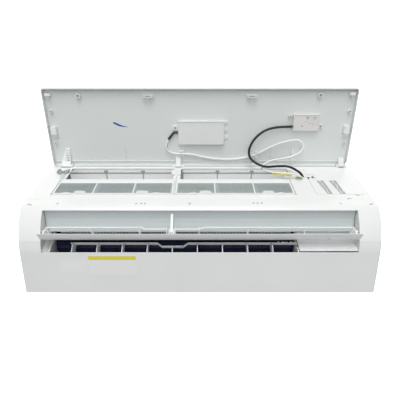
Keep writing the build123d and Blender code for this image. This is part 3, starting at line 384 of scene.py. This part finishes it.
# cables over the hinge
dress(cable_w, M["cord_w"])
dress(cable_b, M["cord_b"])
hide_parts("cable_white")
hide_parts("cable_black")
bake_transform(cable_w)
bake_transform(cable_b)

# ------------------------------------------------------------------ builder for small parts
class Shape:
    """Solids collected in drawing millimetres; f turns each point into row metres."""

    def __init__(self, f=L):
        self.f, self.v, self.q = f, [], []

    def add(self, pts, faces):
        o = len(self.v)
        self.v += [self.f(*p) for p in pts]
        self.q += [tuple(i + o for i in t) for t in faces]
        return self

    def box(self, a0, a1, b0, b1, c0, c1):
        p = [(a0, b0, c0), (a1, b0, c0), (a1, b1, c0), (a0, b1, c0), (a0, b0, c1), (a1, b0, c1), (a1, b1, c1), (a0, b1, c1)]
        return self.add(p, [(0, 3, 2, 1), (4, 5, 6, 7), (0, 1, 5, 4), (1, 2, 6, 5), (2, 3, 7, 6), (3, 0, 4, 7)])

    def run(self, pts, place):
        """Polygon pts placed by place(p, 0) and place(p, 1) as the two caps."""
        n = len(pts)
        p = [place(q, 0) for q in pts] + [place(q, 1) for q in pts]
        f = [tuple(range(n))[::-1], tuple(range(n, 2 * n))]
        f += [(i, (i + 1) % n, (i + 1) % n + n, i + n) for i in range(n)]
        return self.add(p, f)

    def flat(self, pts, c0, c1):
        return self.run(pts, lambda q, k: (q[0], q[1], c1 if k else c0))

    def along(self, pts, a0, a1):
        return self.run(pts, lambda q, k: (a1 if k else a0, q[0], q[1]))

    def disc(self, x, y, r, c0, c1, seg=20, r1=None):
        r1 = r if r1 is None else r1
        pts = [(math.cos(2 * math.pi * i / seg), math.sin(2 * math.pi * i / seg)) for i in range(seg)]
        return self.run(pts, lambda q, k: (x + q[0] * (r1 if k else r), y + q[1] * (r1 if k else r), c1 if k else c0))

    def ring(self, x, y, r, ri, c0, c1, seg=24):
        o = len(self.v)
        for rr, c in ((r, c0), (ri, c0), (ri, c1), (r, c1)):
            for i in range(seg):
                t = 2 * math.pi * i / seg
                self.v.append(self.f(x + rr * math.cos(t), y + rr * math.sin(t), c))
        for k in range(4):
            for i in range(seg):
                j = (i + 1) % seg
                self.q.append((o + k * seg + i, o + k * seg + j, o + ((k + 1) % 4) * seg + j, o + ((k + 1) % 4) * seg + i))
        return self

    def wire(self, pts, r, seg=10):
        """Tube through points given in drawing millimetres."""
        v, q = tube_data([self.f(*p) for p in pts], r / 1000, seg)
        o = len(self.v)
        self.v += v
        self.q += [tuple(i + o for i in t) for t in q]
        return self


def piece(name, shape, mat, body, bevel=0.0, seg=2, angle=35):
    ob = new_mesh(name, shape.v, shape.q)
    if bevel:
        bm = bmesh.new()
        bm.from_mesh(ob.data)
        ed = [e for e in bm.edges if len(e.link_faces) == 2 and e.calc_face_angle(0) > math.radians(40)]
        bmesh.ops.bevel(bm, geom=ed, offset=bevel / 1000, segments=seg, affect="EDGES", clamp_overlap=True)
        bm.to_mesh(ob.data)
        bm.free()
    smooth_by_angle(ob, angle)
    dress(ob, M[mat])
    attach(ob, body)
    return ob


# fine woven screens inside the filter frames
for side, x0, x1 in (("left", -343.2, -67.4), ("right", -54.6, 219.6)):
    sh = Shape()
    n = int((x1 - x0) / 1.0)
    for i in range(n):
        x = x0 + (i + 0.5) * (x1 - x0) / n
        sh.box(x - 0.15, x + 0.15, 140.6, 187.2, 180.9, 181.15)
    n = 45
    for i in range(n):
        y = 140.9 + (i + 0.5) * 46.3 / n
        sh.box(x0, x1, y - 0.15, y + 0.15, 180.65, 180.9)
    piece("filter_screen_" + side, sh, "mesh", "filter_" + side)


# painted glow: a sheet just in front of the thin top wall, given emission, stands in for daylight coming through the
# wall
m_glow = plastic("painted_wall_glow", (0.86, 0.88, 0.875), 0.42, 0.02, 600, 0.06)
for q in m_glow.node_tree.nodes:
    if q.type == "BSDF_PRINCIPLED":
        q.inputs["Emission Color"].default_value = (0.96, 1.0, 0.99, 1)
        q.inputs["Emission Strength"].default_value = 0.40
M["glow"] = m_glow
sh = Shape()
for xa, xb in ((-360, -259.6), (-256.4, -158.6), (-155.4, -65), (-46, 46.4), (49.6, 140.4), (143.6, 239)):
    sh.box(xa, xb, 294.0, 294.35, 122, 152.3)
sh.box(-360, 239, 294.0, 294.35, 155.2, 170)
piece("painted_glow_sheet", sh, "glow", "unit", bevel=0.1, seg=1)


# fin packs: thin plates across the coil blocks
def fins(name, nodes, p0, p1, t=25.4, pitch=1.9, thick=0.3):
    (y0, z0), (y1, z1) = p0, p1
    ln = math.hypot(y1 - y0, z1 - z0)
    dy, dz = (y1 - y0) / ln, (z1 - z0) / ln
    ny, nz = -dz, dy
    h = t / 2 - 0.1
    out = []
    m = 14
    for k in range(m + 1):
        w = 0.5 if k % 2 else 0.0
        sl = ln * k / m
        out.append((y0 + dy * sl - ny * (h - w), z0 + dz * sl - nz * (h - w)))
    for k in range(m, -1, -1):
        w = 0.5 if k % 2 else 0.0
        sl = ln * k / m
        out.append((y0 + dy * sl + ny * (h - w), z0 + dz * sl + nz * (h - w)))
    sh = Shape()
    n = int(527.0 / pitch)
    for i in range(n):
        x = -321.6 + (i + 0.5) * 527.2 / n
        sh.along(out, x - thick / 2, x + thick / 2)
    ob = piece(name, sh, "fin", "unit")
    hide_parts(nodes)
    return ob


fins("fins_front", "coil_front", (97.5, 149.5), (203.0, 158.5))
fins("fins_upper", "coil_upper", (210.0, 149.0), (262.0, 104.0))
fins("fins_rear", "coil_rear", (257.0, 82.3), (181.0, 25.3))

# comb of small teeth under the pan's front lip
sh = Shape()
for i in range(159):
    x = -315.5 + i * 3.3
    if -67.5 < x < -58.5:
        continue
    sh.along([(70.6, 122.2), (72.4, 122.6), (72.2, 117.8), (71.5, 117.8)], x - 0.65, x + 0.65)
sh.along([(70.3, 121.6), (72.6, 122.2), (72.4, 123.4), (70.2, 122.8)], -318, -68)
sh.along([(70.3, 121.6), (72.6, 122.2), (72.4, 123.4), (70.2, 122.8)], -58, 208)
piece("outlet_comb", sh, "bright", "unit")

# bent rod from the vane link to the swing crank
sh = Shape(V)
zig = [(171, 16.5, 28.6)]
for i in range(9):
    zig.append((175 + 4.6 * i, 16.5 + (3.4 if i % 2 else -3.4), 28.9 + (0.9 if i % 2 else -0.2)))
zig.append((216.5, 16.5, 28.6))
sh.wire(zig, 0.95, 10)
star = []
for i in range(12):
    rr = 5.6 if i % 2 == 0 else 3.0
    star.append((190 + rr * math.cos(math.pi * i / 6), 16.5 + rr * math.sin(math.pi * i / 6)))
sh.flat(star, 27.4, 29.2)
sh.box(164, 221, 14.8, 18.2, 27.3, 28.1)
piece("swing_rod", sh, "bright", "vane_link")

# vane edges standing in front of the link bar
for k in (0, 1, 2, 3, 5, 6, 7, 8):
    xs = N["vane_%d" % (k + 1)].bound_box
    xc = (N["vane_%d" % (k + 1)].matrix_world @ (sum((Vector(c) for c in xs), Vector()) / 8)).x * 1000
    sh = Shape(V)
    sh.along([(4.0, 16.0), (3.0, 22.0), (5.5, 31.5), (10.6, 33.0), (11.2, 26.0), (11.0, 20.5)], xc - 0.7, xc + 0.7)
    piece("vane_edge_%d" % (k + 1), sh, "bright", "vane_%d" % (k + 1), bevel=0.2, seg=1)

# dark grey tick marks on the frame
sh = Shape()


def tick(x, y, a, w=5.0, g=1.1):
    ca, sa = math.cos(a), math.sin(a)
    pts = [(-w / 2, -g / 2), (w / 2, -g / 2), (w / 2 - 0.6, g / 2), (-w / 2 + 0.6, g / 2)]
    sh.flat([(x + p * ca - q * sa, y + p * sa + q * ca) for p, q in pts], 177.9, 178.2)


for x, y in ((-144, 100.4), (-133, 100.4), (-124, 100.4), (121, 103), (130, 103), (140, 103)):
    tick(x - 0.9, y, 1.0, 4.4, 1.3)
    tick(x + 0.9, y, -1.0, 4.4, 1.3)
for x, y, a in ((344, 121.8, 0.5), (347.5, 121.8, -0.6), (341, 120.6, 1.1), (367, 138, -0.9), (371, 135.6, -0.5), (384, 97.5, -0.3), (387, 99.5, 0.6), (-386, 97.5, 0.9), (-380, 95.5, -0.2)):
    tick(x, y, a, 5.6, 1.3)
piece("frame_marks", sh, "grey", "unit")

# cross-recess screws
sh = Shape()
for x, y, z, r, h in ((340, 147, 179.8, 3.6, 2.0), (-322, 101.5, 176.2, 3.2, 1.5), (-23, 101.5, 176.2, 3.2, 1.5), (318, 101.5, 176.2, 3.2, 1.5)):
    zm = z + h * 0.45
    sh.disc(x, y, r, z, zm, 24)
    sh.ring(x, y, r * 0.96, r * 0.62, zm, z + h * 0.9, 24)
    for k in range(4):
        a0 = math.pi / 2 * k
        g = 0.42
        pts = []
        for t in range(5):
            a = a0 + 0.25 + (math.pi / 2 - 0.5) * t / 4
            pts.append((x + r * 0.64 * math.cos(a), y + r * 0.64 * math.sin(a)))
        cx, cy = x + g * math.sqrt(2) * math.cos(a0 + math.pi / 4), y + g * math.sqrt(2) * math.sin(a0 + math.pi / 4)
        sh.flat([(cx, cy)] + pts, zm, z + h)
    sh.disc(x, y, 1.8, z - 6.0, z + 0.1, 14)
ob = piece("cross_screws", sh, "steel", "unit", angle=30)
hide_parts("frame_screws")

# plain films on the underside
def U(x, z, n):
    """Underside terms: height z up the sloping face, n off it."""
    return L(x, z * 27 / 95 - n * 0.9619, z + n * 0.2734)


def film(name, x0, x1, z0, z1, r, mat, n=0.22):
    sh = Shape(U)
    pts = []
    for cx, cz, a in ((x1 - r, z1 - r, 0), (x0 + r, z1 - r, 1), (x0 + r, z0 + r, 2), (x1 - r, z0 + r, 3)):
        for t in range(5):
            g = math.pi / 2 * (a + t / 4)
            pts.append((cx + r * math.cos(g), cz + r * math.sin(g)))
    sh.flat(pts, 0.0, n)
    return piece(name, sh, mat, "unit")


film("film_band", -248.5, -142.5, 79.4, 88.0, 0.6, "sticker", 0.26)
film("film_base", -249.5, -141.5, 44.0, 88.6, 1.2, "paper", 0.14)
film("film_plain", -314.0, -252.5, 52.0, 77.5, 1.2, "paper", 0.14)

# two columns of short dark grey strips on the cover
sh = Shape()
for xt, xb in ((291, 300), (322, 330)):
    for i in range(13):
        y = 200.0 - 4.9 * i
        x = xt + (xb - xt) * i / 12
        w = 17.0 - 0.45 * i
        a = rnd.uniform(0.25, 0.55) * w
        sh.box(x, x + a, y - 1.3, y + 1.3, 179.7, 180.1)
        sh.box(x + a + 1.8, x + w, y - 1.3, y + 1.3, 179.7, 180.1)
piece("cover_dark_strips", sh, "grey", "unit", bevel=0.1, seg=1)

# pen stroke left on the panel's inside
sh = Shape(P)
sp_ = [(-225.5, 113.8), (-222.0, 114.6), (-217.0, 112.6), (-210.5, 109.4), (-203.0, 106.2), (-197.5, 104.6), (-191.0, 103.6),
       (-192.0, 102.4), (-198.5, 102.4), (-205.0, 103.2), (-212.5, 105.0), (-219.5, 108.6), (-224.5, 111.4)]
sh.flat(sp_, 10.9, 11.12)
sh.flat([(-190.5, 102.6), (-188.5, 102.2), (-190.0, 100.2), (-191.6, 100.8)], 10.9, 11.12)
piece("pen_stroke", sh, "ink", "panel")

# wires and connector beside the cable hole
sh = Shape()
sh.wire([(184, 230.5, 186.2), (192, 229.0, 187.4), (204, 226.5, 186.6), (216, 223.0, 187.2), (227, 219.8, 186.4), (233, 218.2, 185.4)], 1.5)
sh.wire([(188, 227.0, 184.6), (198, 224.5, 185.0), (212, 220.5, 184.4), (222, 217.6, 184.8), (229, 215.6, 184.2)], 1.4)
sh.wire([(186, 232.6, 184.8), (200, 230.4, 185.6), (214, 227.2, 185.2)], 1.3)
piece("wires_yellow", sh, "yellow", "unit")
sh = Shape()
sh.wire([(232, 218.4, 185.6), (242, 216.0, 185.2), (254, 213.6, 184.0), (262, 214.0, 181.2)], 1.0)
sh.wire([(228, 215.8, 184.2), (240, 213.2, 184.0), (252, 211.6, 183.0)], 1.0)
piece("wires_white", sh, "cord_w", "unit")
sh = Shape()
sh.wire([(240, 210.6, 184.2), (246, 208.2, 184.8), (252, 206.4, 184.0), (256, 207.6, 182.4)], 1.3)
sh.wire([(243, 212.6, 184.6), (249, 210.0, 185.4), (255, 209.4, 183.6)], 1.2)
piece("wire_green", sh, "green", "unit")
sh = Shape()
sh.box(209, 228, 205.5, 213.5, 181.6, 185.4)
sh.box(212, 225, 213.5, 217.5, 182.2, 184.8)
sh.box(211, 214, 207.5, 212, 185.4, 186.2)
sh.box(222, 225.5, 207.5, 212, 185.4, 186.2)
piece("wire_connector", sh, "pale", "unit", bevel=0.35)

# slit membrane in the cable hole
sh = Shape()
for k in range(2):
    ya, yb = (211.4, 221.2) if k == 0 else (222.8, 232.6)
    sh.flat([(248.6, (ya + yb) / 2 - 2), (252, ya), (283.5, ya), (288.0, (ya + yb) / 2 + (1 if k else -1)), (283.5, yb), (252, yb)], 178.2, 178.7)
piece("cable_membrane", sh, "casing", "unit", bevel=0.12, seg=1)
# painted shade: black sheet on the cover beside the cable hole, drawn for a notch
sh = Shape()
sh.flat([(272.6, 217.6), (275.6, 221.0), (277.6, 220.4), (276.4, 214.2), (274.4, 209.4)], 179.3, 179.9)
piece("cover_notch_shade", sh, "black", "unit")

# hinge bracket on the frame, left
sh = Shape()
sh.flat([(-374, 262), (-366, 262), (-360, 252), (-352, 262), (-344.5, 262), (-341, 246), (-348, 238), (-356, 243), (-364, 236), (-372, 244)], 178.0, 180.2)
sh.box(-372.5, -368.5, 244, 262, 180.0, 182.4)
sh.box(-346.5, -343.0, 243, 261, 180.0, 182.4)
sh.flat([(-366, 250), (-352, 250), (-355.5, 243.5), (-362.5, 243.5)], 180.0, 181.8)
piece("hinge_bracket", sh, "clear", "unit", bevel=0.4)
# painted shadow: pale grey sheet on the frame below the hinge bracket
sh = Shape()
sh.flat([(-362, 238), (-347, 238), (-343, 211), (-352, 211)], 178.0, 178.5)
piece("hinge_shadow_plate", sh, "pale", "unit", bevel=0.1, seg=1)

# panel module details
sh = Shape(P)
for x, s_, n, r in ((-64.5, 100, 8.2, 3.0), (311.5, 104.5, 6.6, 3.0), (231, 130, 4.0, 2.6)):
    sh.disc(x, s_, r, n, n - 0.7, 20, r * 0.82)
    sh.disc(x, s_, r * 0.5, n - 0.7, n - 0.75, 16)
for x, s_ in ((275, 127.5), (293.5, 127.0)):
    sh.ring(x, s_, 3.3, 1.7, 2.6, 1.7, 18)
piece("module_screws", sh, "steel", "panel")
# small dark grey discs on the panel modules, two of them on the screw heads
sh = Shape(P)
for x, s_, r in ((-64.5, 100, 1.1), (311.5, 104.5, 1.2), (262.5, 106, 1.7), (281, 113, 1.0), (270, 117.5, 0.9), (290.5, 109, 0.9)):
    n = 7.4 if x < 0 else (5.85 if x > 306 else 2.6)
    sh.disc(x, s_, r, n, n - 0.12, 14)
piece("module_dark_dots", sh, "grey", "panel")
sh = Shape(P)
sh.box(-57, 63, 116.0, 118.0, 1.5, 2.6)
sh.box(-57, -55.4, 57.5, 116, 2.1, 2.6)
sh.box(61.4, 63, 57.5, 116, 2.1, 2.6)
sh.box(-57, 63, 57.5, 59.1, 2.1, 2.6)
piece("display_rim", sh, "inner", "panel", bevel=0.25)
sh = Shape(P)
sh.box(239, 306, 133.2, 135, 1.7, 2.6)
sh.box(239, 240.6, 94, 133, 2.0, 2.6)
sh.box(304.4, 306, 94, 133, 2.0, 2.6)
sh.box(286, 287.4, 112, 133, 2.1, 2.6)
sh.box(287, 305, 112, 113.4, 2.1, 2.6)
piece("wireless_rim", sh, "warm", "panel", bevel=0.25)
sh = Shape(P)
sh.ring(-298, 90, 5.0, 4.0, 11.15, 10.5, 24)
sh.ring(-305, 180, 6.8, 5.9, 11.1, 5.0, 24)
sh.ring(301, 182, 6.8, 5.9, 11.1, 5.0, 24)
piece("panel_rings", sh, "inner", "panel")

# ------------------------------------------------------------------ stage and light
m_floor, nt, bs, co = base("floor_white")
bs.inputs["Base Color"].default_value = (0.93, 0.93, 0.93, 1)
bs.inputs["Roughness"].default_value = 0.9
bs.inputs["Specular IOR Level"].default_value = 0.1
bs.inputs["Emission Color"].default_value = (1, 1, 1, 1)
bs.inputs["Emission Strength"].default_value = 0.70
floor = new_mesh("floor", [(-30, -30, -0.0003), (30, -30, -0.0003), (30, 60, -0.0003), (-30, 60, -0.0003)], [(0, 1, 2, 3)])
dress(floor, m_floor)
floor.visible_diffuse = False
floor.visible_glossy = False

world = bpy.data.worlds.new("studio")
bpy.context.scene.world = world
world.use_nodes = True
bg = world.node_tree.nodes["Background"]
bg.inputs[0].default_value = (0.97, 0.985, 1.0, 1)
bg.inputs[1].default_value = 0.36


def sun(name, strength, angle, direction):
    d = bpy.data.lights.new(name, "SUN")
    d.energy = strength
    d.angle = math.radians(angle)
    o = bpy.data.objects.new(name, d)
    bpy.context.scene.collection.objects.link(o)
    o.rotation_euler = Vector(direction).to_track_quat("-Z", "Y").to_euler()
    return o


sun("top_soft", 1.62, 32, (0.05, 0.20, -1.0))
sun("front_soft", 0.78, 55, (0.02, 0.77, -0.62))
sun("back_soft", 0.90, 60, (0.0, -0.9, -0.5))
bpy.context.scene.view_settings.view_transform = "Standard"
bpy.context.scene.view_settings.look = "None"
